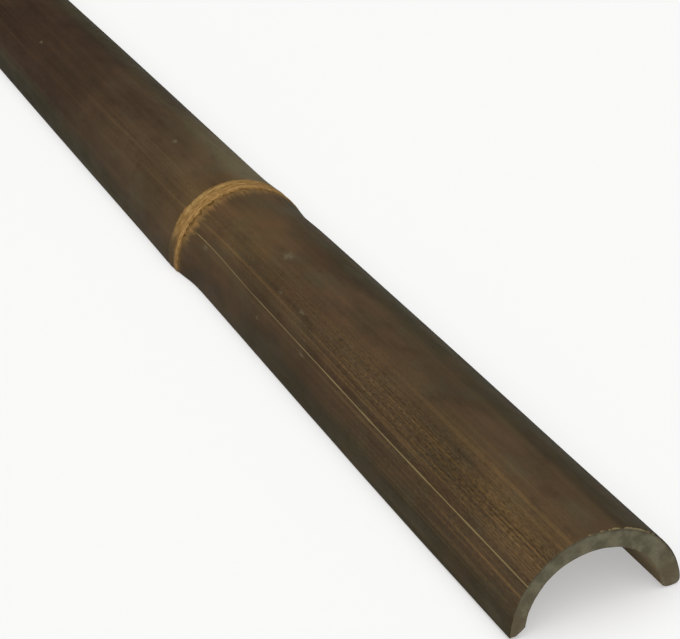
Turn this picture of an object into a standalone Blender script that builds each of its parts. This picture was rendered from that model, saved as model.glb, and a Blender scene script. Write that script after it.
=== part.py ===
"""Half-round bamboo pole: one culm split lengthways and sawn off at both ends.

It is a single grown piece, lying rounded side up on its two split edges. X runs along the
pole with the near cut end at +X, Y runs across it, and the split edges rest on Z = 0.
Every distance called "along" is measured in from the near cut end. All sizes are metres.
"""

import math

import bmesh
import bpy
from mathutils import Vector

LENGTH = 1.830
NODES = (0.383, 0.938, 1.466)  # along, to the crest of each sheath scar

# One value per internode, from the near end: the culm thickens towards its base.
INTERNODE_RADII = (0.0382, 0.0397, 0.0409, 0.0418)
INTERNODE_DRIFTS = (0.0000, -0.0021, -0.0003, -0.0015)  # sideways, at every node a small kink
INTERNODE_SWELL = 0.0005  # each internode is a little fuller half-way between its nodes

# The node: the step between two internodes, the broad ridge over it and the scar's thin lip.
STEP_NEAR = 0.033
STEP_FAR = 0.005
RIDGE_HEIGHT = 0.0008
RIDGE_SPREAD = 0.013
SCAR_HEIGHT = 0.0007
SCAR_SPREAD = 0.0025

# The wall is thinnest on the -Y side, because the bore doesn't share the skin's centre.
WALL = 0.0079
WALL_GROWTH = 0.0007  # extra wall per metre along
BORE_DRIFT = -0.0010

# The split edges. The -Y one is crisp outside and slopes up inwards, the +Y one is worn round.
LEFT_EASE = 0.0006
LEFT_FLAT = 0.0028
LEFT_SLOPE_RISE = 0.0030
LEFT_LIFT = 0.0015  # the -Y edge rises this much in its last stretch to the near end
LEFT_LIFT_REACH = 0.110
RIGHT_EASE_OUTSIDE = 0.0022
RIGHT_EASE_INSIDE = 0.0032

# The cut ends: the near one was sawn a little off square, and both have a broken edge.
SAW_SLANT_Y = 0.0254
SAW_SLANT_Z = 0.0175
SAW_SLANT_REACH = 0.060
END_EASE = 0.0004

# A septum closes the bore at every node. It thickens in a hollow curve where it joins the wall.
SEPTUM_THICKNESS = 0.0036
SEPTUM_SHIFT = -0.006  # along, from the scar crest to the middle of the septum
SEPTUM_FILLET = 0.0075
SEPTUM_CURVE = ((-1.6, 0.0), (-0.7, 0.25), (0.0, 1.0))  # (outwards, sideways) in fillets
SEPTUM_BURIED = 0.003  # how far its rim reaches into the wall
SEPTUM_SET_BACK = 0.0004  # its sawn edge has shrunk this far above the split plane

OUTER_STEPS = 30
BORE_STEPS = 24
ROUND_STEPS = 3
NODE_STATIONS = (
    -0.042, -0.033, -0.025, -0.018, -0.012, -0.007,
    -0.0035, 0.0, 0.0035, 0.008, 0.016, 0.030,
)
INTERNODE_STATIONS = (0.25, 0.5, 0.75)
WELD_DISTANCE = 1e-6
CREASE_ANGLE = math.radians(32)

SKIN_COLOUR = (0.063, 0.038, 0.021, 1.0)
SKIN_ROUGHNESS = 0.45


def smooth_step(t):
    t = min(max(t, 0.0), 1.0)
    return t * t * (3.0 - 2.0 * t)


def along_internodes(along, values):
    """The value for this distance, passing smoothly from one internode's to the next's."""
    value = values[0]
    for node, before, after in zip(NODES, values, values[1:]):
        start = node - STEP_NEAR
        value += (after - before) * smooth_step((along - start) / (STEP_NEAR + STEP_FAR))
    return value


def swell(along):
    edges = (0.0, *NODES, LENGTH)
    for start, end in zip(edges, edges[1:]):
        if start <= along <= end:
            return INTERNODE_SWELL * math.sin(math.pi * (along - start) / (end - start)) ** 2
    return 0.0


def node_relief(along):
    relief = 0.0
    for node in NODES:
        relief += RIDGE_HEIGHT * math.exp(-(((along - node) / RIDGE_SPREAD) ** 2) / 2)
        relief += SCAR_HEIGHT * math.exp(-(((along - node) / SCAR_SPREAD) ** 2) / 2)
    return relief


def skin_radius(along):
    return along_internodes(along, INTERNODE_RADII) + swell(along) + node_relief(along)


def bore_radius(along):
    grown = along_internodes(along, INTERNODE_RADII) + swell(along)
    return grown - WALL - WALL_GROWTH * along


def arc(radius, centre_y, start_height, end_height, steps):
    """Points over the top of a circle, between these heights on its +Y and -Y sides."""
    start = math.asin(start_height / radius)
    end = math.pi - math.asin(end_height / radius)
    angles = [start + (end - start) * step / steps for step in range(steps + 1)]
    return [(centre_y + radius * math.cos(a), radius * math.sin(a)) for a in angles]


def rounded(start, end, corner, steps):
    """Points strictly between start and end, on a quarter ellipse that bulges to the corner."""
    points = []
    for step in range(1, steps):
        a = math.pi / 2 * step / steps
        weights = (1 - math.sin(a), 1 - math.cos(a))
        points.append(
            tuple(
                weights[0] * s + weights[1] * e + (1 - sum(weights)) * c
                for s, e, c in zip(start, end, corner)
            )
        )
    return points


def section(along, inset):
    """The cross-section once round as (y, z), drawn in by inset for the edge of a cut end."""
    skin = skin_radius(along) - inset
    bore = bore_radius(along) + inset
    skin_y = along_internodes(along, INTERNODE_DRIFTS)
    bore_y = skin_y + BORE_DRIFT
    lift = LEFT_LIFT * max(0.0, 1.0 - along / LEFT_LIFT_REACH) ** 2 + inset
    low = inset

    outside = arc(skin, skin_y, low + RIGHT_EASE_OUTSIDE, lift + LEFT_EASE, OUTER_STEPS)
    inside = arc(bore, bore_y, low + RIGHT_EASE_INSIDE, lift + LEFT_SLOPE_RISE, BORE_STEPS)

    left_out = outside[-1][0]
    left_edge = [(left_out + LEFT_EASE, lift), (left_out + LEFT_FLAT, lift)]

    right_out, right_in = outside[0], inside[0]
    foot_in = (right_in[0] + RIGHT_EASE_INSIDE, low)
    foot_out = (right_out[0] - RIGHT_EASE_OUTSIDE, low)
    right_edge = [
        *rounded(right_in, foot_in, (right_in[0], low), ROUND_STEPS),
        foot_in,
        foot_out,
        *rounded(foot_out, right_out, (right_out[0], low), ROUND_STEPS),
    ]
    return outside + left_edge + inside[::-1] + right_edge


def stations():
    """(along, inset) of every cross-section, close together at the nodes."""
    distances = [END_EASE, LENGTH - END_EASE]
    distances += [node + offset for node in NODES for offset in NODE_STATIONS]
    edges = (0.0, *NODES, LENGTH)
    for start, end in zip(edges, edges[1:]):
        distances += [start + (end - start) * share for share in INTERNODE_STATIONS]
    distances.append(SAW_SLANT_REACH)
    inner = [(distance, 0.0) for distance in sorted(distances)]
    return [(0.0, END_EASE), *inner, (LENGTH, END_EASE)]


def placed(along, y, z):
    slant = (SAW_SLANT_Y * y + SAW_SLANT_Z * z) * max(0.0, 1.0 - along / SAW_SLANT_REACH)
    return (LENGTH / 2 - along + slant, y, z)


def next_ring_vert(vert, made):
    """The vert that was extruded from this one."""
    return next(e.other_vert(vert) for e in vert.link_edges if e.other_vert(vert) in made)


def culm_mesh():
    """The split wall, extruded from one cross-section to the next and capped at both ends."""
    bm = bmesh.new()
    rings = stations()
    first = [bm.verts.new(placed(rings[0][0], y, z)) for y, z in section(*rings[0])]
    near_face = bm.faces.new(first)
    loop_edges = list(near_face.edges)
    loop = first
    for along, inset in rings[1:]:
        made = bmesh.ops.extrude_edge_only(bm, edges=loop_edges)["geom"]
        loop_edges = [e for e in made if isinstance(e, bmesh.types.BMEdge)]
        loop = [next_ring_vert(vert, set(made)) for vert in loop]
        for vert, (y, z) in zip(loop, section(along, inset)):
            vert.co = placed(along, y, z)
    bm.faces.new(loop)
    bmesh.ops.recalc_face_normals(bm, faces=bm.faces)
    return bm


def septum_mesh(node):
    """Half a diaphragm, spun over the top of the bore and closed along its sawn edge."""
    along = node + SEPTUM_SHIFT
    radius = bore_radius(along)
    half = SEPTUM_THICKNESS / 2
    curve = [(half + side * SEPTUM_FILLET, radius + out * SEPTUM_FILLET) for out, side in SEPTUM_CURVE]
    face = [(half, 0.0), *curve, (half + SEPTUM_FILLET, radius + SEPTUM_BURIED)]
    outline = face + [(-x, r) for x, r in reversed(face)]
    centre = (
        LENGTH / 2 - along,
        along_internodes(along, INTERNODE_DRIFTS) + BORE_DRIFT,
        SEPTUM_SET_BACK,
    )
    bm = bmesh.new()
    verts = [bm.verts.new((centre[0] + x, centre[1] + r, centre[2])) for x, r in outline]
    edges = [bm.edges.new(pair) for pair in zip(verts, verts[1:])]
    bmesh.ops.spin(
        bm, geom=verts + edges, cent=centre, axis=(1, 0, 0), dvec=(0, 0, 0), angle=math.pi,
        steps=BORE_STEPS, use_merge=False, use_duplicate=False,
    )
    bmesh.ops.remove_doubles(bm, verts=bm.verts, dist=WELD_DISTANCE)
    bmesh.ops.holes_fill(bm, edges=bm.edges, sides=0)
    bmesh.ops.recalc_face_normals(bm, faces=bm.faces)
    return bm


def shift_to_centre(bm):
    """The move that puts the middle of the mesh's length and width on the origin."""
    xs = [vert.co.x for vert in bm.verts]
    ys = [vert.co.y for vert in bm.verts]
    return Vector((-(min(xs) + max(xs)) / 2, -(min(ys) + max(ys)) / 2, 0.0))


def add_object(name, bm, shift):
    bmesh.ops.translate(bm, vec=shift, verts=bm.verts)
    mesh = bpy.data.meshes.new(name)
    bm.to_mesh(mesh)
    bm.free()
    mesh.shade_smooth()
    mesh.set_sharp_from_angle(angle=CREASE_ANGLE)
    obj = bpy.data.objects.new(name, mesh)
    bpy.context.collection.objects.link(obj)
    return obj


def skin_material():
    material = bpy.data.materials.new("dark bamboo skin")
    material.use_nodes = True
    shader = material.node_tree.nodes["Principled BSDF"]
    shader.inputs["Base Color"].default_value = SKIN_COLOUR
    shader.inputs["Roughness"].default_value = SKIN_ROUGHNESS
    shader.inputs["Metallic"].default_value = 0.0
    return material


def clear_scene():
    for obj in list(bpy.data.objects):
        bpy.data.objects.remove(obj, do_unlink=True)


def main():
    clear_scene()
    culm = culm_mesh()
    shift = shift_to_centre(culm)
    pole = add_object("bamboo_pole", culm, shift)
    pole.data.materials.append(skin_material())
    for index, node in enumerate(NODES, start=1):
        septum = add_object(f"septum_{index}", septum_mesh(node), shift)
        septum.hide_render = True
        septum.display_type = "WIRE"
        join = pole.modifiers.new(f"septum {index}", "BOOLEAN")
        join.operation = "UNION"
        join.solver = "EXACT"
        join.object = septum


main()
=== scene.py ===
"""Half-round bamboo pole: one culm split lengthways, sawn off at both ends and smoked dark.

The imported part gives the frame. X runs along the pole with the near cut end at +X, Y runs
across it, and the two split edges lie on Z = 0. "Along" is the distance in from the near cut
end, and "turn" is the angle round the culm's axis, from the +Y split edge over the top to the
-Y one. All sizes are metres unless a name says otherwise.
"""

import math
from functools import partial

import bmesh
import bpy
import numpy as np
from bpy.props import FloatProperty, FloatVectorProperty, PointerProperty
from bpy.types import NodeSocket, Operator, Panel, PropertyGroup
from mathutils import Matrix, Vector


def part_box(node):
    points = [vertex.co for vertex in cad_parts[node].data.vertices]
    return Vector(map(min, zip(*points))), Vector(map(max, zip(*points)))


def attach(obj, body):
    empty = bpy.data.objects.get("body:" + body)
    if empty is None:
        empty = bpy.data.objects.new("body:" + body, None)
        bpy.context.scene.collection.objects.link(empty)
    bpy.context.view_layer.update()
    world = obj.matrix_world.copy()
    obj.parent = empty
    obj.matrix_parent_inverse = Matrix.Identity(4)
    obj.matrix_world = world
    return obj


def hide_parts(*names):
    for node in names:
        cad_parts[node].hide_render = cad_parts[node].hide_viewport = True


bl_info = {
    "name": "Half-round bamboo pole",
    "version": (1, 0, 0),
    "blender": (4, 5, 0),
    "location": "3D View > Sidebar > Bamboo",
    "description": "Builds a smoked half-round bamboo pole and a pale studio to show it in",
    "category": "Object",
}

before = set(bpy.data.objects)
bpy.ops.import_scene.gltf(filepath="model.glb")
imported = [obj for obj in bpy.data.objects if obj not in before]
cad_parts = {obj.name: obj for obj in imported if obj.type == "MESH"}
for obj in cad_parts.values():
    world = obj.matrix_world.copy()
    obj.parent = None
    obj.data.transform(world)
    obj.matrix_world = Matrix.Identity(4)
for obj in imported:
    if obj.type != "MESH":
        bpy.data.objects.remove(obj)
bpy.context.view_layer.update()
POLE_LOW, POLE_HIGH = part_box("bamboo_pole")

MM = 0.001
LENGTH = 1.830
NODES = (0.383, 0.938, 1.466)  # along, to each sheath scar

# One row per internode, from the near end: skin radius at its start and end, and its centre's
# sideways drift at its start and end. Every node puts a small kink in the culm.
INTERNODES = (
    (0.03848, 0.03820, 0.0001, -0.0004),
    (0.03982, 0.04022, -0.0025, -0.0014),
    (0.04090, 0.04125, -0.0006, -0.0003),
    (0.04175, 0.04200, -0.0013, -0.0016),
)
FULLNESS = 0.0005  # each internode is a little fuller half-way between its nodes
BORE_DRIFT = -0.0010  # the wall is thinnest on the -Y side
WALL_GROWTH = 0.0007  # extra wall per metre along

# Where one internode's size and place pass into the next's, around each scar.
SIZE_STEP = (-0.031, 0.001)
DRIFT_STEP = (-0.058, 0.037)

# The node's rings, measured along from its scar towards the culm's base.
LIP_AT = 0.0014
CORD_AT = -0.0066
PITS_AT = -0.0094
FOOT_AT = 0.0053
RIDGE_HEIGHT = 0.00075

# The split edges. The -Y one is crisp outside and slopes up inwards, the +Y one is worn round.
LEFT_EASE = 0.0004
LEFT_FLAT = 0.0026
LEFT_SLOPE_RISE = 0.0030
LEFT_LIFT = 0.0012
LEFT_LIFT_REACH = 0.110
RIGHT_EASE_OUTSIDE = 0.0026
RIGHT_EASE_INSIDE = 0.0040

# The near cut is a little off square.
SAW_SLANT_Y = 0.0254
SAW_SLANT_Z = 0.0175
SAW_SLANT_REACH = 0.060

# A septum closes the bore at every node and thickens in a hollow curve where it joins the wall.
SEPTUM_SHIFT = -0.006  # along, from the scar to the middle of the septum
SEPTUM_FILLET = 0.0075
SEPTUM_BURIED = 0.0010
SEPTUM_SET_BACK = 0.0004
SEPTUM_TURNS = 64
SEPTUM_RINGS = 18

CRACK_END = 0.371
ARC_COLUMNS = 84
CRACK_OFFSETS = np.array([-1.0, -0.4, -0.15, 0.0, 0.15, 0.4, 1.0]) * MM
RIM_STEPS = 4
RIM_SEGMENTS = 3 * RIM_STEPS
WELD_DISTANCE = 1e-6
SEED = 11

# Turns become distances round the culm on these radii.
SKIN_GIRTH = 0.039
CRACK_GIRTH = 0.0385
BORE_GIRTH = 0.03

# The culm's own map is a square of MAP_SIDE units. A size is (across, up).
MAP_SIDE = 1024
MAP_MARGIN = 4
STRIPS = 4
STRIP_SIZE = (866, 224)
STRIP_PITCH = 228
ROW_AT = 920
ROW_SIZE = (1016, 100)
COLUMN_AT = 878
COLUMN_SIZE = (140, 736)
END_BANDS_AT = (748, 834)
END_BAND_HEIGHT = 80
RIM_SHARE, BORE_SHARE = 9, 94  # of the ribbon's width: millimetres round
RIBBON_FOLD = 0.58  # how far through the culm the ribbon turns the corner

# The studio camera: its place, then its azimuth, elevation and roll in degrees.
CAMERA_AT = (1.382889, -0.283728, 0.435343)
CAMERA_TURNS = (68.11, 28.56, -5.25)
CAMERA_LENS = 91.855

# The settings that the materials' nodes use most.
SMOOTH = {"interpolation_type": "SMOOTHSTEP"}
TIMES = {"operation": "MULTIPLY"}
PLUS = {"operation": "ADD"}
PLUS_TIMES = {"operation": "MULTIPLY_ADD"}  # the first value times the second, plus the third
OVER = {"data_type": "RGBA"}


def linear(colour_hex):
    """The linear colour of an sRGB hex value."""
    parts = np.array([int(colour_hex[i : i + 2], 16) / 255 for i in (1, 3, 5)])
    low, high = parts / 12.92, ((parts + 0.055) / 1.055) ** 2.4
    return tuple(np.where(parts <= 0.04045, low, high).tolist())


def smooth_step(t):
    t = np.clip(t, 0.0, 1.0)
    return t * t * (3.0 - 2.0 * t)


def hump(x, centre, spread):
    """A bell curve, 1 at its centre."""
    return np.exp(-(((x - centre) / spread) ** 2) / 2)


def value_noise(rng, x, y=0.0):
    """Smooth random heights from -1 to 1: one per unit square of x and y, blended by
    smooth_step between the four nearest."""
    x, y = np.broadcast_arrays(np.asarray(x, float), np.asarray(y, float))
    column, row = np.floor(x).astype(int), np.floor(y).astype(int)
    column0, row0 = column.min(), row.min()
    table = rng.uniform(-1, 1, (column.max() - column0 + 2, row.max() - row0 + 2))
    fx, fy = smooth_step(x - column), smooth_step(y - row)
    i, j = column - column0, row - row0
    near = table[i, j] * (1 - fx) + table[i + 1, j] * fx
    far = table[i, j + 1] * (1 - fx) + table[i + 1, j + 1] * fx
    return near * (1 - fy) + far * fy


# ---------------------------------------------------------------------------- the culm's form


def internode_shares(along, step):
    """How much each internode counts at these distances: 1 inside it, passing to the next by
    smooth_step between the two ends of step, which are offsets from the node."""
    passed = [smooth_step((along - node - step[0]) / (step[1] - step[0])) for node in NODES]
    passed = [np.ones_like(along), *passed, np.zeros_like(along)]
    return [before - after for before, after in zip(passed, passed[1:])]


def internode_places(along):
    """How far through each internode these distances are, from 0 to 1."""
    edges = (0.0, *NODES, LENGTH)
    return [np.clip((along - a) / (b - a), 0, 1) for a, b in zip(edges, edges[1:])]


def grown_radius(along):
    """Skin radius without the nodes' relief: each internode's straight taper plus its
    sine-squared fullness, mixed by internode_shares."""
    radius = np.zeros_like(along)
    shares = internode_shares(along, SIZE_STEP)
    for share, t, row in zip(shares, internode_places(along), INTERNODES):
        radius += share * (row[0] + (row[1] - row[0]) * t + FULLNESS * np.sin(math.pi * t) ** 2)
    return radius


def grown_drift(along):
    """Sideways place of the culm's axis: straight through each internode, mixed by shares."""
    drift = np.zeros_like(along)
    shares = internode_shares(along, DRIFT_STEP)
    for share, t, row in zip(shares, internode_places(along), INTERNODES):
        drift += share * (row[2] + (row[3] - row[2]) * t)
    return drift


def crack_turn(along):
    """The hairline split runs almost straight along the grain. It bows 1 degree outwards, then
    turns about 2 degrees towards the top before it ends."""
    bow = 1.0 * hump(along, 0.115, 0.060)
    return np.radians(141.5 + bow - 2.2 * smooth_step((along - 0.27) / 0.10))


def from_nearest_node(along):
    """Signed distance along from the nearest node's scar."""
    gaps = np.stack([along - node for node in NODES])
    return np.take_along_axis(gaps, np.abs(gaps).argmin(0)[None], 0)[0]


def ring_facts(rng, along, turn):
    """At every skin point: its distance from the nearest scar with a slight wobble round the
    culm, how strong the scar's outer lip is there, how deep in a root pit it lies, and how
    strong the band from cord to foot, the fringe before it and the cord itself are. The pits
    are dashes round the culm: noise along each node's ring, cut off at a threshold."""
    around = turn * SKIN_GIRTH
    degrees = np.degrees(turn)
    gap = np.broadcast_to(from_nearest_node(along), turn.shape).copy()
    lip, pits, outer, fringe, cord = np.zeros((5, *turn.shape))
    for number, node in enumerate(NODES):
        here = np.abs(along - node) < 0.12
        wobble = value_noise(rng, around / 0.021) * 0.6 * MM
        wobble += value_noise(rng, around / 0.006) * 0.3 * MM
        gap += here * wobble * hump(along, node, 0.030)
        if number == 0:
            strength = (
                0.40
                + 0.60 * smooth_step((degrees - 84) / 12)
                - 0.98 * smooth_step((degrees - 131) / 7)
                + 0.45 * hump(degrees, 151, 4)
            )
            grown = 1 - 0.80 * smooth_step((degrees - 141) / 16)
            frayed = 0.55 + 0.40 * smooth_step((degrees - 95) / 20)
            frayed = frayed - 0.85 * smooth_step((degrees - 147) / 12)
            thick = 0.80 + 0.20 * smooth_step((degrees - 76) / 12)
            thick = thick - 0.38 * smooth_step((degrees - 156) / 10)
            gap += here * 1.2 * MM * smooth_step((degrees - 136) / 24)
        else:
            strength = 0.65 + 0.45 * value_noise(rng, around / 0.014)
            grown = 0.8 + 0.3 * value_noise(rng, around / 0.020)
            frayed, thick = grown - 0.1, grown + 0.1
        frayed = frayed + 0.25 * value_noise(rng, around / 0.0065)
        lip += here * np.clip(strength, 0.03, 1)
        outer += here * np.clip(grown, 0, 1)
        fringe += here * np.clip(frayed, 0, 1)
        cord += here * np.clip(thick, 0, 1)
        dash = smooth_step((value_noise(rng, around / 0.0023) - 0.05) / 0.45)
        dash = dash * (0.65 + 0.35 * value_noise(rng, around / 0.012))
        place = PITS_AT + 0.9 * MM * value_noise(rng, around / 0.0041)
        pits += here * dash * hump(along - node, place, 0.75 * MM)
    return gap, lip, pits, outer, fringe, cord


def skin_relief(rng, along, turn, gap, lip, pits):
    """Height of the skin over grown_radius. At a node: a broad ridge, the thick inner cord,
    the thinner outer lip, the furrows beside them and the root pits, each a bell curve of the
    distance from the scar. Between nodes: slow unevenness and long shallow flutes."""
    around = turn * SKIN_GIRTH
    relief = RIDGE_HEIGHT * hump(gap, 0, 13 * MM)
    relief -= 0.15 * MM * hump(gap, -34 * MM, 8 * MM)
    relief += 0.30 * MM * hump(gap, CORD_AT, 1.5 * MM)
    relief += 0.30 * MM * lip * hump(gap, LIP_AT, 1.2 * MM)
    relief -= 0.10 * MM * hump(gap, -0.0020, 1.1 * MM)
    relief -= 0.14 * MM * hump(gap, FOOT_AT, 0.9 * MM)
    relief -= 0.12 * MM * hump(gap, PITS_AT, 1.0 * MM) + 0.32 * MM * pits
    fibres = value_noise(rng, around / 0.0016, along / 0.006)
    relief += 0.09 * MM * fibres * (hump(gap, -12.5 * MM, 2.6 * MM) + hump(gap, -2 * MM, 3.5 * MM))
    relief += 0.13 * MM * value_noise(rng, around / 0.024, along / 0.110)
    relief += 0.05 * MM * value_noise(rng, around / 0.0062, along / 0.160)
    return relief


def crack_facts(rng, along, turn):
    """How deep in the hairline crack each point lies, from 0 to 1: full on its line, nothing
    0.3 to 0.55 mm beside it. It is widest near the cut end, its width is uneven, and it fades
    out where it ends."""
    beside = np.abs(turn - crack_turn(along)) * CRACK_GIRTH
    widest = smooth_step((0.26 - along) / 0.16)
    width = (0.36 + 0.10 * widest + 0.08 * value_noise(rng, along / 0.011)) * MM
    strength = 0.55 + 0.45 * widest + 0.20 * hump(along, 0.345, 0.020)
    strength = strength + 0.12 * value_noise(rng, along / 0.007)
    fade = smooth_step((CRACK_END - along) / 0.012)
    return np.clip(1 - beside / width, 0, 1) * np.clip(strength, 0, 1) * fade


def chip_facts(rng, end_gap, turn, share):
    """How far the skin has worn off a cut edge, as (depth, how worn from 0 to 1). Both fall
    evenly from the edge to nothing over the worn strip's width, which changes round the culm.
    share makes some stretches worse."""
    size = np.clip(0.60 + 0.45 * value_noise(rng, turn * SKIN_GIRTH / 0.0045), 0, 1) * share
    fall = np.clip(1 - end_gap / ((0.4 + 1.3 * size) * MM), 0, 1)
    return 0.55 * MM * size * fall, np.clip(0.30 + 0.70 * size, 0, 1) * share**0.5 * fall


def stations():
    """Distances along of every cross-section and how far each is drawn in to ease the cut
    edges: fractions of a millimetre apart at the cut ends and 0.75 mm apart over a node's
    rings, widening to 5.5 mm between nodes."""
    fine = [0.3, 0.5, 0.8, 1.2, 1.7, 2.4, 3.3, 4.5, 6, 8, 10.5, 13.5, 17, 21, 26]
    places = list(np.array(fine) * MM) + list(LENGTH - np.array(fine) * MM)
    starts, ends = [0.026], []
    for node in NODES:
        offsets = np.concatenate(
            [np.arange(-40, -16, 2.0), np.arange(-16, 9, 0.75), np.arange(9, 27, 2.0)]
        )
        places += list(node + offsets * MM)
        ends.append(node + offsets[0] * MM)
        starts.append(node + offsets[-1] * MM)
    ends.append(LENGTH - 0.026)
    for start, end in zip(starts, ends):
        places += list(np.linspace(start, end, round((end - start) / 0.0055) + 1)[1:-1])
    places = np.unique(np.round(places, 7))
    ease = np.array([90, 60, 30]) * math.pi / 180
    inset = 0.3 * MM * (1 - np.cos(ease))
    gap = 0.3 * MM * (1 - np.sin(ease))
    along = np.concatenate([gap, places, LENGTH - gap[::-1]])
    return along, np.concatenate([inset, np.zeros(len(places)), inset[::-1]])


def quarter_round(start, end, corner, steps):
    """Points after start, up to end, on the quarter ellipse that bulges towards corner: the
    weights are 1 - sin for start, 1 - cos for end and the rest for the corner."""
    angle = (np.arange(1, steps + 1) / steps * math.pi / 2)[None, :, None]
    to_start, to_end = 1 - np.sin(angle), 1 - np.cos(angle)
    parts = [np.stack(p, -1)[:, None, :] for p in (start, end, corner)]
    return to_start * parts[0] + to_end * parts[1] + (1 - to_start - to_end) * parts[2]


def straight_run(start, end, steps, bulge=0.0):
    """Points after start, up to end, evenly spaced, with a sine bulge downwards between."""
    t = (np.arange(1, steps + 1) / steps)[None, :, None]
    first, last = (np.stack(p, -1)[:, None, :] for p in (start, end))
    line = first + (last - first) * t
    line[..., 1] -= bulge * np.sin(math.pi * t[..., 0])
    return line


def spread_turns(right, left, along, radius):
    """ARC_COLUMNS angles from right to left at every station: even on both sides of the crack
    line, with close columns over it."""
    crack = crack_turn(along)
    over = CRACK_OFFSETS[None] / radius[:, None] + crack[:, None]
    count = ARC_COLUMNS - len(CRACK_OFFSETS)
    before = round(count * 0.775)
    t_right = np.arange(before) / before
    t_left = np.arange(1, count - before + 1) / (count - before)
    return np.hstack(
        [
            right[:, None] + (over[:, :1] - right[:, None]) * t_right,
            over,
            over[:, -1:] + (left[:, None] - over[:, -1:]) * t_left,
        ]
    )


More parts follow.
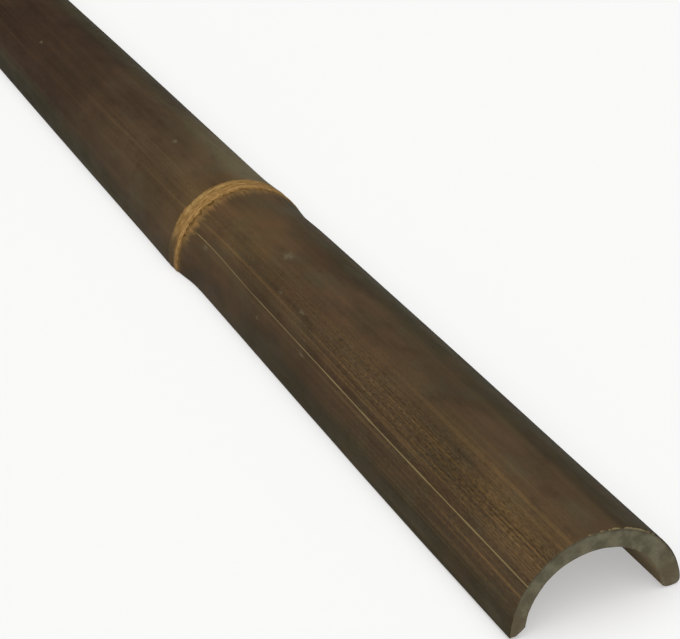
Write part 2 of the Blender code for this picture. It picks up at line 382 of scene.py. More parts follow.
def culm_arrays(sizes):
    """The whole split culm as one closed ring of points at every station: skin from right to
    left, -Y split edge, bore from left to right, +Y split edge. Returns ring points of shape
    (stations, columns, 3) with what the materials need to know about each."""
    rng = np.random.default_rng(SEED)
    along, inset = stations()
    radius, drift = grown_radius(along), grown_drift(along)
    bore = radius - sizes.wall - WALL_GROWTH * along + inset
    to_end = np.minimum(along, LENGTH - along)

    low = inset + 0.08 * MM * (1 + value_noise(rng, along / 0.019))
    lift = LEFT_LIFT * np.clip(1 - along / LEFT_LIFT_REACH, 0, 1) ** 2
    lift += inset + 0.06 * MM * (1 + value_noise(rng, along / 0.015))
    low[along > 0.02] -= low[along > 0.02].min()

    right = np.arcsin((low + RIGHT_EASE_OUTSIDE) / radius)
    left = math.pi - np.arcsin((lift + LEFT_EASE) / radius)
    turn = spread_turns(right, left, along, radius)
    line = along[:, None]
    gap, lip, pits, outer_band, fringe, cord = ring_facts(rng, line, turn)
    crack = crack_facts(rng, line, turn)
    near_share = 0.12 + 0.55 * hump(np.degrees(turn), 66, 17)
    chip_near = chip_facts(rng, line, turn, near_share)
    chip_far = chip_facts(rng, LENGTH - line, turn, 0.6)
    skin = radius[:, None] - inset[:, None] + skin_relief(rng, line, turn, gap, lip, pits)
    skin = skin - sizes.crack_depth * crack - chip_near[0] - chip_far[0]
    outer = np.stack([drift[:, None] + skin * np.cos(turn), skin * np.sin(turn)], -1)

    bore_right = np.arcsin((low + RIGHT_EASE_INSIDE) / bore)
    bore_left = math.pi - np.arcsin((lift + LEFT_SLOPE_RISE) / bore)
    t = np.linspace(0, 1, ARC_COLUMNS)
    bore_turn = bore_left[:, None] + (bore_right - bore_left)[:, None] * t
    bore_around = bore_turn * BORE_GIRTH
    hollow = bore[:, None] + 0.09 * MM * value_noise(rng, bore_around / 0.0028, line / 0.070)
    hollow += 0.12 * MM * value_noise(rng, bore_around / 0.018, line / 0.140)
    inner = np.stack(
        [drift[:, None] + BORE_DRIFT + hollow * np.cos(bore_turn), hollow * np.sin(bore_turn)], -1
    )

    out_left, in_left = outer[:, -1], inner[:, 0]
    in_right, out_right = inner[:, -1], outer[:, 0]
    flat_start = (out_left[:, 0] + LEFT_EASE, lift)
    flat_end = (out_left[:, 0] + LEFT_FLAT, lift)
    foot_in = (in_right[:, 0] + RIGHT_EASE_INSIDE, low)
    foot_out = (out_right[:, 0] - RIGHT_EASE_OUTSIDE, low)
    left_rim = np.concatenate(
        [
            quarter_round(out_left.T, flat_start, (out_left[:, 0], lift), RIM_STEPS),
            straight_run(flat_start, flat_end, RIM_STEPS),
            straight_run(flat_end, in_left.T, RIM_STEPS, bulge=0.2 * MM),
        ],
        1,
    )[:, :-1]
    right_rim = np.concatenate(
        [
            quarter_round(in_right.T, foot_in, (in_right[:, 0], low), RIM_STEPS),
            straight_run(foot_in, foot_out, RIM_STEPS),
            quarter_round(foot_out, out_right.T, (out_right[:, 0], low), RIM_STEPS),
        ],
        1,
    )[:, :-1]
    torn = 0.09 * MM * np.sin(math.pi * np.arange(1, RIM_SEGMENTS) / RIM_SEGMENTS)
    for rim in (left_rim, right_rim):
        across = np.arange(rim.shape[1])[None]
        rim[..., 1] += torn * (1 + value_noise(rng, across / 1.1, line / 0.011))

    flat = np.concatenate([outer, left_rim, inner, right_rim], 1)
    across, up = flat[..., 0], flat[..., 1]
    slant = (SAW_SLANT_Y * across + SAW_SLANT_Z * up) * np.clip(1 - line / SAW_SLANT_REACH, 0, 1)
    marks = 0.07 * MM * value_noise(rng, (across * 0.5 + up) / 0.0021, across / 0.02)
    marks = marks * smooth_step(1 - to_end / 0.003)[:, None]
    points = np.stack([LENGTH / 2 - line + slant + marks, across, up], -1)

    def ringed(skin_values, edge_value=0.0, bore_value=0.0):
        """Values on the whole ring, from the skin's own and one for the edges and the bore."""
        skin = skin_values * np.ones((len(along), 1))
        edge = np.full((len(along), RIM_SEGMENTS - 1), edge_value)
        lining = np.full((len(along), ARC_COLUMNS), bore_value)
        return np.concatenate([skin, edge, lining, edge], 1)

    rim_turn = math.pi + np.arange(1, RIM_SEGMENTS) * 0.8 * MM / SKIN_GIRTH
    rim_turn = np.broadcast_to(rim_turn, (len(along), RIM_SEGMENTS - 1))
    turns = np.concatenate(
        [turn, rim_turn, math.pi * 2 - bore_turn * 0.75, -rim_turn[:, ::-1] + math.pi], 1
    )
    depth = np.concatenate(
        [
            np.zeros((len(along), ARC_COLUMNS)),
            np.tile(np.arange(1, RIM_SEGMENTS) / RIM_SEGMENTS, (len(along), 1)),
            np.ones((len(along), ARC_COLUMNS)),
            np.tile(1 - np.arange(1, RIM_SEGMENTS) / RIM_SEGMENTS, (len(along), 1)),
        ],
        1,
    )
    alongs = np.broadcast_to(line, turns.shape)
    facts = {
        "grown": np.stack([alongs, turns * SKIN_GIRTH, depth], -1),
        "ring": np.stack(
            [
                np.clip(ringed(gap), -0.06, 0.06) + ringed(gap * 0, 1, 1) * 0.05,
                ringed(lip),
                ringed(pits),
            ],
            -1,
        ),
        "broken": np.stack(
            [
                ringed(crack),
                ringed(np.maximum(chip_near[1], chip_far[1])),
                ringed(smooth_step((0.055 - np.abs(gap)) / 0.010) * cord),
            ],
            -1,
        ),
        "tone": tones(alongs, np.concatenate([turn, rim_turn, bore_turn, rim_turn * 0], 1)),
        "fringe": np.stack([ringed(fringe), ringed(turn * 0), ringed(turn * 0)], -1),
        "worn": np.stack(
            [ringed(streakiness(line, turn)), ringed(outer_band), ringed(rustiness(line, turn))], -1
        ),
    }
    return points, facts


def patch(along, degrees, centre, half):
    """A soft oval patch: a bell curve of both distances, 1 at its centre. Millimetres along,
    degrees round."""
    reach = ((along / MM - centre[0]) / half[0]) ** 2 + ((degrees - centre[1]) / half[1]) ** 2
    return np.exp(-reach)


def tones(along, turn):
    """How the smoke has coloured the skin, as (pale, golden, olive) from 0 to 1.5. The smoke is
    lightest over the near internode and just beyond every node, golden over the top, and
    grey-olive down both sides. Past 0.95 the olive value is painted shade, not smoke: it rises
    there low on both sides, below 53 degrees on the +Y side and on the -Y side from about 0.6 m
    along, and the skin material darkens the colour wherever it does."""
    degrees = np.degrees(turn)
    pale = 0.9 * (1 - smooth_step((along - NODES[0]) / 0.002))
    pale -= 0.30 * patch(along, degrees, (180, 136), (120, 9))
    golden = 0.75 * patch(along, degrees, (-20, 114), (150, 19))
    golden += 0.25 * patch(along, degrees, (120, 118), (120, 18))
    golden += 0.85 * patch(along, degrees, (342, 104), (58, 40))
    golden += 0.45 * patch(along, degrees, (290, 118), (55, 10))
    olive = 0.95 * smooth_step((88 - degrees) / 28) + 0.85 * smooth_step((degrees - 146) / 24)
    # Greyer olive on the -Y side from 0.6 m along. Where this takes olive past 0.95 it is painted
    # shade.
    olive += 0.55 * smooth_step((degrees - 152) / 14) * smooth_step((along - 0.60) / 0.08)
    olive -= 0.50 * patch(along, degrees, (375, 168), (95, 18))
    # Painted shade: takes olive past 0.95 low on the +Y side, below 53 degrees, so the skin
    # material darkens the skin there.
    olive += 0.5 * smooth_step((53 - degrees) / 9)
    olive -= 0.60 * patch(along, degrees, (356, 60), (40, 26))
    for number, node in enumerate(NODES):
        beyond = (along - node) / MM
        fade = smooth_step(beyond / 4) * np.exp(-(np.clip(beyond - 12, 0, None) / 200) ** 2)
        pale += fade * (0.90 + 0.60 * smooth_step((94 - degrees) / 30))
        olive = olive - 0.7 * fade * smooth_step((84 - degrees) / 28)
        golden += 0.75 * fade * hump(degrees, 118, 34) * np.exp(-np.clip(beyond, 0, None) / 60)
        if number:
            before = smooth_step(-beyond / 4) * np.exp(-np.clip(-beyond, 0, None) / 120)
            pale += 0.55 * before
            golden += 0.7 * patch(along, degrees, (node / MM - 40, 75 + 30 * number), (45, 30))
    return np.stack([np.clip(v, 0, 1.5) for v in (pale, golden, olive)], -1)


def scrape_marks():
    """The few pale marks where the skin was knocked, as (millimetres along, degrees round,
    half length, half width in millimetres)."""
    return (
        (215, 146, 3.0, 1.0), (236, 124, 3.2, 0.9), (262, 125, 2.2, 0.8),
        (286, 101, 4.5, 2.6), (268, 152, 1.8, 1.0), (350, 143, 2.6, 1.3), (463, 96, 2.6, 1.6),
        (705, 120, 3.0, 1.2), (1120, 70, 4.0, 1.5), (1330, 132, 3.0, 1.0), (1640, 98, 4.0, 1.4),
    )


def rustiness(along, turn):
    """Where the skin is rusty: most in the last hand before a node, over the top."""
    degrees = np.degrees(turn)
    rusty = 0.30 + 0.55 * patch(along, degrees, (240, 104), (90, 22))
    rusty += 0.15 * patch(along, degrees, (90, 150), (110, 12))
    for number, node in enumerate(NODES):
        rusty += 1.00 * patch(along, degrees, (node / MM - 28, 96 + 18 * number), (42, 42))
        rusty += 0.35 * patch(along, degrees, (node / MM - 55, 152 - 20 * number), (50, 16))
    return np.clip(rusty * (1 - smooth_step((along - NODES[0]) / 0.01) * 0.6), 0, 1)


def streakiness(along, turn):
    """How clearly the grain shows through the smoke: most near the near end, between the top
    and the crack, hardly at all elsewhere."""
    degrees = np.degrees(turn)
    out = np.exp(-((along / 0.190) ** 4))
    shown = 0.95 * out * hump(degrees, 125, 10.5) + 0.42 * out * hump(degrees, 154, 9)
    shown += 0.10 * out * hump(degrees, 100, 10)
    shown += 0.36 * patch(along, degrees, (255, 124), (120, 16))
    shown += 0.20 * patch(along, degrees, (450, 126), (110, 16))
    for node in NODES[1:]:
        shown += 0.35 * patch(along, degrees, (node / MM + 70, 70), (110, 22))
        shown += 0.30 * patch(along, degrees, (node / MM - 120, 130), (90, 18))
    return np.clip(0.05 + shown, 0, 1)


def saw_cap(ring):
    """The flat of a cut end between its skin edge and its bore edge, as a Coons patch: each
    inside point mixes the two edges, adds the mix of the two rims, and takes away the mix of
    the four corners. Returns the inside points."""
    outer = ring[:ARC_COLUMNS]
    left = ring[ARC_COLUMNS - 1 : ARC_COLUMNS + RIM_SEGMENTS]
    inner = ring[ARC_COLUMNS + RIM_SEGMENTS - 1 : 2 * ARC_COLUMNS + RIM_SEGMENTS - 1][::-1]
    right = np.concatenate([ring[2 * ARC_COLUMNS + RIM_SEGMENTS - 2 :], ring[:1]])[::-1]
    t = np.linspace(0, 1, ARC_COLUMNS)[1:-1, None, None]
    w = np.linspace(0, 1, RIM_SEGMENTS + 1)[None, 1:-1, None]
    edges = (1 - w) * outer[1:-1, None] + w * inner[1:-1, None]
    rims = (1 - t) * right[None, 1:-1] + t * left[None, 1:-1]
    first, last = ((1 - w) * outer[end] + w * inner[end] for end in (0, -1))
    return edges + rims - ((1 - t) * first + t * last)


def cap_indices(first_ring, first_inside):
    """Vertex numbers of a cap's whole grid, (ARC_COLUMNS, RIM_SEGMENTS + 1): its border is the
    ring's, its inside is its own."""
    grid = np.empty((ARC_COLUMNS, RIM_SEGMENTS + 1), int)
    count = 2 * ARC_COLUMNS + 2 * (RIM_SEGMENTS - 1)
    ring = first_ring + np.arange(count)
    grid[:, 0] = ring[:ARC_COLUMNS]
    grid[:, -1] = ring[ARC_COLUMNS + RIM_SEGMENTS - 1 : 2 * ARC_COLUMNS + RIM_SEGMENTS - 1][::-1]
    grid[-1, 1:-1] = ring[ARC_COLUMNS : ARC_COLUMNS + RIM_SEGMENTS - 1]
    grid[0, 1:-1] = ring[2 * ARC_COLUMNS + RIM_SEGMENTS - 1 :][::-1]
    inside = (ARC_COLUMNS - 2) * (RIM_SEGMENTS - 1)
    grid[1:-1, 1:-1] = first_inside + np.arange(inside).reshape(ARC_COLUMNS - 2, -1)
    return grid


def grid_faces(grid, wrap=False):
    """Quads of a grid of vertex numbers, closed round its second direction when wrap is set."""
    nxt = np.roll(grid, -1, 1) if wrap else grid[:, 1:]
    here = grid if wrap else grid[:, :-1]
    return np.stack([here[:-1], nxt[:-1], nxt[1:], here[1:]], -1).reshape(-1, 4)


def culm_map(along):
    """Where every face corner lies on the culm's square map, from 0 to 1. The skin is cut
    across into four strips of equal length, laid side by side. The bore with both its rims is
    one ribbon, laid along the last row and up the last column. The two cut ends, unrolled
    into straight bands, fill the corner."""
    columns = 2 * (ARC_COLUMNS - 1 + RIM_SEGMENTS)
    station, column = (v.ravel() for v in np.indices((len(along) - 1, columns)))
    stations_at = station[:, None] + [0, 0, 1, 1]
    columns_at = column[:, None] + [0, 1, 1, 0]
    place = along[stations_at]

    cuts = np.abs(along[:, None] - LENGTH * np.arange(STRIPS + 1) / STRIPS).argmin(0)
    strip = np.searchsorted(cuts, station, side="right") - 1
    start, end = along[cuts[strip]][:, None], along[cuts[strip + 1]][:, None]
    skin_x = MAP_MARGIN + STRIP_SIZE[0] * (place - start) / (end - start)
    skin_y = MAP_MARGIN + STRIP_PITCH * strip[:, None]
    skin_y = skin_y + STRIP_SIZE[1] * columns_at / (ARC_COLUMNS - 1)

    rim = np.full(RIM_SEGMENTS, RIM_SHARE / RIM_SEGMENTS)
    arch = np.full(ARC_COLUMNS - 1, BORE_SHARE / (ARC_COLUMNS - 1))
    widths = np.concatenate([[0], rim, arch, rim])
    over = (widths.cumsum() / widths.sum())[np.clip(columns_at - ARC_COLUMNS + 1, 0, None)]
    fold = np.abs(along - RIBBON_FOLD * LENGTH).argmin()
    in_row = (station < fold)[:, None]
    row_x = MAP_MARGIN + ROW_SIZE[0] * place / along[fold]
    beyond = (place - along[fold]) / (LENGTH - along[fold])
    column_y = MAP_MARGIN + COLUMN_SIZE[1] * beyond
    bore_x = np.where(in_row, row_x, COLUMN_AT + COLUMN_SIZE[0] * over)
    bore_y = np.where(in_row, ROW_AT + ROW_SIZE[1] * over, column_y)

    on_skin = (column < ARC_COLUMNS - 1)[:, None]
    wall = np.stack([np.where(on_skin, skin_x, bore_x), np.where(on_skin, skin_y, bore_y)], -1)
    t, w = np.indices((ARC_COLUMNS - 1, RIM_SEGMENTS)).reshape(2, -1, 1)
    band_x = COLUMN_AT + COLUMN_SIZE[0] * (t + [0, 0, 1, 1]) / (ARC_COLUMNS - 1)
    band_y = END_BAND_HEIGHT * (w + [0, 1, 1, 0]) / RIM_SEGMENTS
    near, far = (np.stack([band_x, band_y + low], -1) for low in END_BANDS_AT)
    return np.concatenate([wall[:, ::-1], near[:, ::-1], far]) / MAP_SIDE


def septum_arrays(rng, node, sizes):
    """Half a diaphragm across the bore, as a grid of turns by a loop of points. The loop runs
    out along its near face, over the rim buried in the wall, and back along its far face. Half
    the thickness is constant until it widens by a quarter circle of SEPTUM_FILLET at the wall.
    The whole bulges towards the culm's base by a cosine squared, and its faces wrinkle."""
    along = node + SEPTUM_SHIFT
    radius = grown_radius(np.array([along]))[0] - sizes.wall - WALL_GROWTH * along
    out = np.sin(np.linspace(0, math.pi / 2, SEPTUM_RINGS)) * radius
    out[-1] += SEPTUM_BURIED
    into_fillet = np.clip((out - radius + SEPTUM_FILLET) / SEPTUM_FILLET, 0, 1)
    half = sizes.septum_thickness / 2 + SEPTUM_FILLET * (1 - np.sqrt(1 - into_fillet**2))
    loop_out = np.concatenate([out, out[::-1]])
    loop_half = np.concatenate([half, -half[::-1]])
    turn = np.linspace(0, math.pi, SEPTUM_TURNS + 1)[:, None]
    bulge = 0.9 * MM * np.cos(np.clip(loop_out / radius, 0, 1) * math.pi / 2) ** 2
    across, up = loop_out * np.cos(turn), loop_out * np.sin(turn)
    wrinkle = 0.16 * MM * value_noise(rng, across / 0.0035 + 40, up / 0.0035)
    wrinkle += 0.22 * MM * value_noise(rng, across / 0.009 + 40, up / 0.006)
    drift = grown_drift(np.array([along]))[0] + BORE_DRIFT
    points = np.stack(
        [LENGTH / 2 - along + loop_half - bulge + wrinkle, drift + across, SEPTUM_SET_BACK + up], -1
    )
    share = np.broadcast_to(loop_out / radius, across.shape)
    facts = np.stack([share, np.broadcast_to(turn, across.shape), across * 0], -1)
    return points, facts


def build_mesh(name, points, faces, materials, slots, facts, corners=None, welded=False):
    """A smooth-shaded mesh object from numpy arrays, with a vector attribute for each fact and
    a map if its face corners are given. welded merges the points that fall together, and turns
    every face outwards."""
    mesh = bpy.data.meshes.new(name)
    mesh.from_pydata(points.tolist(), [], faces.tolist())
    if corners is not None:
        layer = mesh.uv_layers.new(name="OFBake")
        layer.data.foreach_set("uv", np.ascontiguousarray(corners, np.float32).ravel())
    for material in materials:
        mesh.materials.append(material)
    mesh.polygons.foreach_set("material_index", slots.astype(np.int32))
    for label, values in facts.items():
        attribute = mesh.attributes.new(label, "FLOAT_VECTOR", "POINT")
        attribute.data.foreach_set("vector", np.ascontiguousarray(values, np.float32).ravel())
    if welded:
        bm = bmesh.new()
        bm.from_mesh(mesh)
        bmesh.ops.remove_doubles(bm, verts=bm.verts, dist=WELD_DISTANCE)
        bmesh.ops.recalc_face_normals(bm, faces=bm.faces)
        bm.to_mesh(mesh)
        bm.free()
    mesh.validate()
    mesh.shade_smooth()
    mesh.set_sharp_from_angle(angle=math.radians(50))
    piece = bpy.data.objects.new(name, mesh)
    bpy.context.scene.collection.objects.link(piece)
    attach(piece, "root")
    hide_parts("bamboo_pole")
    return piece


def culm_shift():
    """The move that puts the culm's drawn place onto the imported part's: both are LENGTH long
    with the same slanted near end and the same widest node."""
    along, _ = stations()
    radius, drift = grown_radius(along), grown_drift(along)
    low = (drift - radius).min() - RIDGE_HEIGHT
    high = (drift + radius).max() + RIDGE_HEIGHT
    reach = 0.99 * radius[0]  # how far across the near end's +Y corner lies
    near = LENGTH / 2 + SAW_SLANT_Y * reach + SAW_SLANT_Z * RIGHT_EASE_OUTSIDE
    middle_x = (near - LENGTH / 2) / 2
    middle = (POLE_LOW + POLE_HIGH) / 2
    return np.array([middle.x - middle_x, middle.y - (low + high) / 2, POLE_LOW.z])


# ---------------------------------------------------------------------------------- materials


def add_node(tree, kind, *values, output=None, **settings):
    """Adds a node and returns one of its outputs: the named one, or the first that is on. The
    values fill or link its inputs in order, leaving out those that are off. A setting fills or
    links the input of its name, or else sets the node's property of that name."""
    node = tree.nodes.new("ShaderNode" + kind)
    named = {key: value for key, value in settings.items() if key in node.inputs}
    for key, value in settings.items():
        if key not in named:
            setattr(node, key, value)
    pairs = list(zip((socket for socket in node.inputs if socket.enabled), values))
    pairs += [(node.inputs[key], value) for key, value in named.items()]
    for socket, value in pairs:
        if isinstance(value, NodeSocket):
            tree.links.new(value, socket)
        elif socket.type == "RGBA":
            socket.default_value = (*value, 1.0)
        else:
            socket.default_value = value
    return node.outputs[output] if output else next(s for s in node.outputs if s.enabled)


def start_material(name, roughness, specular):
    """A material with one Principled shader, and the function that adds nodes to it."""
    material = bpy.data.materials.new(name)
    material.use_nodes = True
    tree = material.node_tree
    shader = tree.nodes["Principled BSDF"]
    shader.inputs["Roughness"].default_value = roughness
    shader.inputs["IOR"].default_value = 1.45
    shader.inputs["Specular IOR Level"].default_value = specular
    return material, tree, shader, partial(add_node, tree)


def drawn_out(add, source, cell, detail=3.0, seed=0.0):
    """A noise pattern whose cells are this many metres along, round and deep."""
    scaled = add("VectorMath", source, tuple(1 / c for c in cell), **TIMES)
    moved = add("VectorMath", scaled, (seed, seed * 1.7, seed * 0.3), **PLUS)
    return add("TexNoise", Vector=moved, Scale=1.0, Detail=detail, Roughness=0.55)


def skin_material(colours):
    """Smoked bamboo skin: a hard waxy rind darkened by smoke. The eye sees dull satin brown,
    with fine grain lines where the smoke is thin, grey-olive sides and tan rings at the nodes."""
    material, tree, shader, add = start_material("smoked bamboo skin", 0.66, specular=0.04)
    facts = ("grown", "tone", "ring", "broken", "worn", "fringe")
    grown, *split = (add("Attribute", output="Vector", attribute_name=fact) for fact in facts)
    tone, ring, broken, worn, fringes = (
        add("SeparateXYZ", vector).node.outputs for vector in split
    )
    streaky, outer_band, rusty = worn
    near_node, fringed = broken[2], fringes[0]

    # Grain: lines under 1 mm wide and a hand long, dashes and pores of 3 mm, broad clouds.
    streak = drawn_out(add, grown, (0.14, 0.00085, 1.0))
    dash = drawn_out(add, grown, (0.0028, 0.00055, 1.0), seed=17.0)
    line = drawn_out(add, grown, (0.26, 0.0034, 1.0), detail=2.0, seed=7.3)
    pore = drawn_out(add, grown, (0.0032, 0.0006, 1.0), seed=3.1)
    cloud = drawn_out(add, grown, (0.062, 0.019, 1.0), detail=4.0, seed=11.9)
    mottle = drawn_out(add, grown, (0.018, 0.009, 1.0), detail=4.0, seed=5.7)
    tint = drawn_out(add, grown, (0.026, 0.012, 1.0), detail=4.0, seed=41.0)
    grain = add("Math", dash, 0.4, add("Math", streak, 0.6, **TIMES), **PLUS_TIMES)

    # Smoke and grain colours, each as strong as its pattern and its share of the culm say.
    cloudy = add("Math", cloud, -0.5, **PLUS)
    unevenness = add("MapRange", tone[0], 0.0, 1.0, 0.3, 0.7, **SMOOTH)
    uneven = add("Math", cloudy, unevenness, tone[0], **PLUS_TIMES)
    pale = add("MapRange", uneven, 0.0, 1.0, **SMOOTH)
    olive = add("MapRange", tone[2], 0.0, 1.0, **SMOOTH)
    bloom = add("MapRange", tone[0], 0.92, 1.5, **SMOOTH)
    rustless = add("MapRange", rusty, 0.0, 1.0, 1.0, 0.6, **SMOOTH)
    colour = add("Mix", pale, colours.smoked, colours.brown, **OVER)
    for share, pattern, start, end, least, most, layer in (
        (tone[1], mottle, 0.25, 0.65, 0.55, 1.0, colours.golden),
        (olive, cloud, 0.2, 0.7, 0.75, 1.0, colours.olive),
        (bloom, tint, 0.2, 0.7, 1.0, 0.7, colours.bloom),
        (rusty, tint, 0.44, 0.68, 0.0, 0.55, colours.rust),
        (pale, tint, 0.48, 0.3, 0.0, 0.4, colours.moss),
        (rustless, mottle, 0.46, 0.28, 0.0, 0.36, colours.smoked),
        (streaky, grain, 0.52, 0.36, 0.0, 0.44, colours.grain_dark),
        (streaky, grain, 0.49, 0.64, 0.0, 0.8, colours.grain_light),
        (streaky, line, 0.57, 0.7, 0.0, 0.6, colours.grain_light),
    ):
        strength = add("MapRange", pattern, start, end, least, most, **SMOOTH)
        colour = add("Mix", add("Math", share, strength, **TIMES), colour, layer, **OVER)

    banded = add("Math", streaky, 1.45, 0.22, **PLUS_TIMES)
    bands = add("Math", add("Math", line, -0.5, **PLUS), banded, 1.0, **PLUS_TIMES)
    pored = add("Math", streaky, 0.1, **PLUS)
    pores = add("MapRange", pore, 0.56, 0.34, 0.0, -0.4, **SMOOTH)
    pores = add("Math", pores, pored, 1.0, **PLUS_TIMES)
    clouds = add("MapRange", cloud, 0.28, 0.72, 0.86, 1.14, **SMOOTH)
    # Painted shade: darkens the skin low down on both sides, wherever the olive value runs past
    # 0.95.
    side = add("MapRange", tone[2], 0.95, 1.45, 1.0, 0.72, **SMOOTH)
    for shade in (bands, pores, clouds, side):
        grey = add("CombineXYZ", shade, shade, shade)
        colour = add("Mix", 1.0, colour, grey, blend_type="MULTIPLY", **OVER)

    # The node's rings, by distance in millimetres from the scar, with ragged borders.
    ragged = drawn_out(add, grown, (0.0034, 0.0012, 1.0), detail=4.0, seed=21.0)
    torn = drawn_out(add, grown, (0.03, 0.0016, 1.0), detail=4.0, seed=31.0)
    knots = drawn_out(add, grown, (0.004, 0.0034, 1.0), detail=4.0, seed=71.0)
    ply = drawn_out(add, grown, (0.0008, 0.0052, 1.0), seed=81.0)
    hollow = drawn_out(add, grown, (0.0026, 0.0021, 1.0), detail=2.0, seed=61.0)
    off_ragged, off_torn = (add("Math", noise, -0.5, **PLUS) for noise in (ragged, torn))
    gap = add("Math", ring[0], 1000.0, **TIMES)
    torn_gap = add("Math", off_torn, 18.0, gap, **PLUS_TIMES)
    edge_gap = add("Math", off_ragged, 4.5, gap, **PLUS_TIMES)

    fringe_end = add("MapRange", gap, 2.0, -4.0, 0.0, fringed, **SMOOTH)
    fringe = add("MapRange", torn_gap, -18.5, -9.0, 0.0, fringe_end, **SMOOTH)
    frayed = add("MapRange", ragged, 0.25, 0.6, 0.45, 1.0, **SMOOTH)
    fringe = add("Math", add("Math", fringe, near_node, **TIMES), frayed, **TIMES)

    inner_end = add("MapRange", edge_gap, -2.5, -4.5, **SMOOTH)
    inner_part = add("MapRange", edge_gap, -11.6, -8.0, 0.0, inner_end, **SMOOTH)
    outer_end = add("MapRange", edge_gap, 5.6, 3.2, 0.0, outer_band, **SMOOTH)
    outer_part = add("MapRange", edge_gap, -4.5, -2.5, 0.0, outer_end, **SMOOTH)
    band = add("Math", add("Math", inner_part, outer_part, **PLUS), near_node, **TIMES)

    # Distances from the middles of the cord, the lip, the root pits and the thin thread.
    from_cord, from_lip, from_pits, from_thread = (
        add("Math", add("Math", edge_gap, -place, **PLUS), operation="ABSOLUTE")
        for place in (-6.4, 1.4, -9.6, -2.6)
    )
    torn_part = add("MapRange", torn, 0.3, 0.58, 0.45, 1.0, **SMOOTH)
    patchy = add("MapRange", knots, 0.36, 0.58, 0.45, 1.0, **SMOOTH)
    patchy = add("Math", patchy, torn_part, **TIMES)
    lip = add("Math", patchy, add("Math", ring[1], near_node, **TIMES), **TIMES)
    knotted = add("MapRange", knots, 0.4, 0.56, 0.0, 0.45, **SMOOTH)
    thread = add("Math", knotted, band, **TIMES)
    hollow = add("MapRange", hollow, 0.51, 0.58, 0.0, 0.85, **SMOOTH)
    hollow = add("Math", hollow, add("Math", near_node, fringed, **TIMES), **TIMES)
    # Painted shade: a ragged dark line in the pits' colour along the shallow furrow of root pits.
    furrow_shade = add("MapRange", ragged, 0.4, 0.62, 0.05, 0.6, **SMOOTH)
    furrow_shade = add("Math", furrow_shade, near_node, **TIMES)
    pit = add("MapRange", ragged, 0.3, 0.55, 0.6, 0.95, **SMOOTH)
    colour = add("Mix", fringe, colour, colours.fringe, **OVER)
    colour = add("Mix", band, colour, colours.ring_shade, **OVER)
    for place, start, end, most, layer in (
        (from_cord, 2.7, 0.4, add("Math", patchy, band, **TIMES), colours.cord),
        (from_lip, 2.8, 0.5, lip, colours.lip),
        (ply, 0.49, 0.36, add("Math", band, 0.5, **TIMES), colours.pit),
        (ply, 0.53, 0.66, add("Math", band, 0.55, **TIMES), colours.strand),
        (from_thread, 1.1, 0.2, thread, colours.cord),
        (from_pits, 2.4, 1.0, hollow, colours.pit),
        (from_pits, 1.9, 0.3, furrow_shade, colours.pit),
        (ring[2], 0.15, 0.7, pit, colours.pit),
    ):
        share = add("MapRange", place, start, end, 0.0, most, **SMOOTH)
        colour = add("Mix", share, colour, layer, **OVER)

    # A few pale specks of dried sap and dust, under 1 mm across.
    speck_gap = add("TexVoronoi", Vector=grown, Scale=60.0, feature="F1")
    pick = add("SeparateColor", speck_gap.node.outputs["Color"])
    picked = add("MapRange", pick, 0.88, 0.92, 0.0, 0.45, **SMOOTH)
    speck_gap = add("Math", mottle, 0.08, speck_gap, **PLUS_TIMES)
    speck = add("MapRange", speck_gap, 0.092, 0.07, 0.0, picked, **SMOOTH)
    colour = add("Mix", speck, colour, colours.speck, **OVER)

    for along_mm, degrees, half_length, half_width in scrape_marks():
        centre = (along_mm * MM, math.radians(degrees) * SKIN_GIRTH, 0.0)
        offset = add("VectorMath", grown, centre, operation="SUBTRACT")
        stretch = (1 / (half_length * MM), 1 / (half_width * MM), 1.0)
        reach = add("VectorMath", add("VectorMath", offset, stretch, **TIMES), operation="LENGTH")
        reach = add("Math", off_ragged, 2.4, reach, **PLUS_TIMES)
        scrape = add("MapRange", reach, 1.5, 0.0, 0.0, 0.3, **SMOOTH)
        colour = add("Mix", scrape, colour, colours.speck, **OVER)

    # Bare wood in the crack and where the cut edge has worn.
    fine = drawn_out(add, grown, (0.0012, 0.0019, 1.0), seed=51.0)
    worn_off = add("Math", broken[1], add("Math", fine, -0.5, **PLUS), **PLUS)
    for bared, start, end, layer in (
        (broken[0], 0.05, 0.6, colours.crack),
        (worn_off, 0.22, 0.36, colours.chip),
        (worn_off, 0.36, 0.6, colours.cut_pale),
    ):
        share = add("MapRange", bared, start, end, **SMOOTH)
        colour = add("Mix", share, colour, layer, **OVER)
    tree.links.new(colour, shader.inputs["Base Color"])

    gloss = add("MapRange", mottle, 0.3, 0.7, 0.6, 0.72, **SMOOTH)
    gloss = add("Math", add("Math", fringe, band, **PLUS), 0.1, gloss, **PLUS_TIMES)
    tree.links.new(gloss, shader.inputs["Roughness"])

    height = add("Math", pore, 0.4, add("Math", grain, 0.6, **TIMES), **PLUS_TIMES)
    height = add("Math", add("Math", ragged, band, **TIMES), 1.6, height, **PLUS_TIMES)
    height = add("Math", torn, fringe, height, **PLUS_TIMES)
    bump = add("Bump", Height=height, Strength=0.4, Distance=0.18 * MM)
    tree.links.new(bump, shader.inputs["Normal"])
    return material


